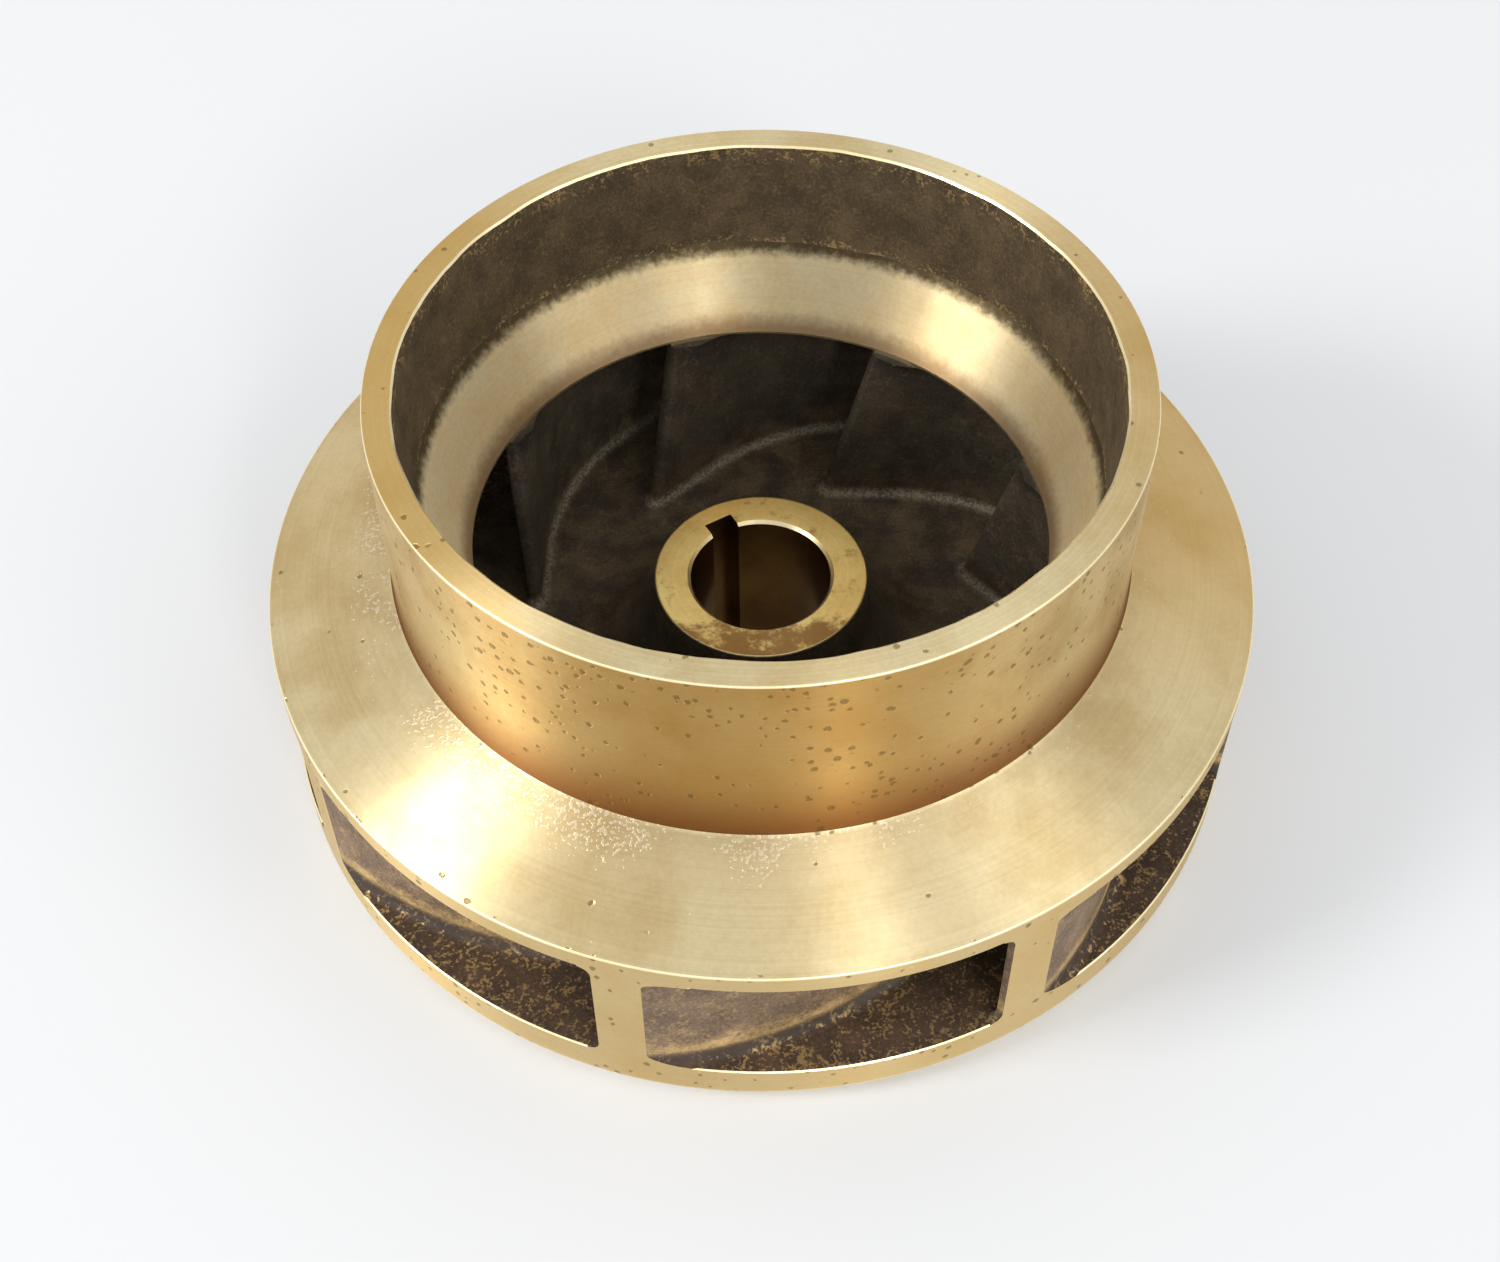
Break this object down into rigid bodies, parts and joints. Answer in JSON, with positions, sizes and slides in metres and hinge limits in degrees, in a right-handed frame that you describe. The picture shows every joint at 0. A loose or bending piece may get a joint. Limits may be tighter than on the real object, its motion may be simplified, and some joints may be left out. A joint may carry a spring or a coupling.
{
  "type": "pump impeller",
  "caption": "Closed bronze pump impeller, cast in one piece, with a tall turned suction collar, back-swept vanes between two shrouds and a keyed bore in its hub.",
  "frame": {"origin": "on the shaft's axis, in the plane of the flat back face that the part rests on", "axes": "+Z along the shaft's axis towards the suction eye; +X to the right and +Y away from the viewer of the picture, so the keyway lies at 121 degrees from +X towards +Y"},
  "size_m": [0.1524, 0.1524, 0.0737],
  "materials": {
    "bronze": "turned outside, hub face, bore and funnel; dark as-cast surface in the collar, on the hub's sweep, on the vanes and inside the shrouds"
  },
  "bodies": {
    "root": {"impeller": "bronze"}
  },
  "joints": []
}
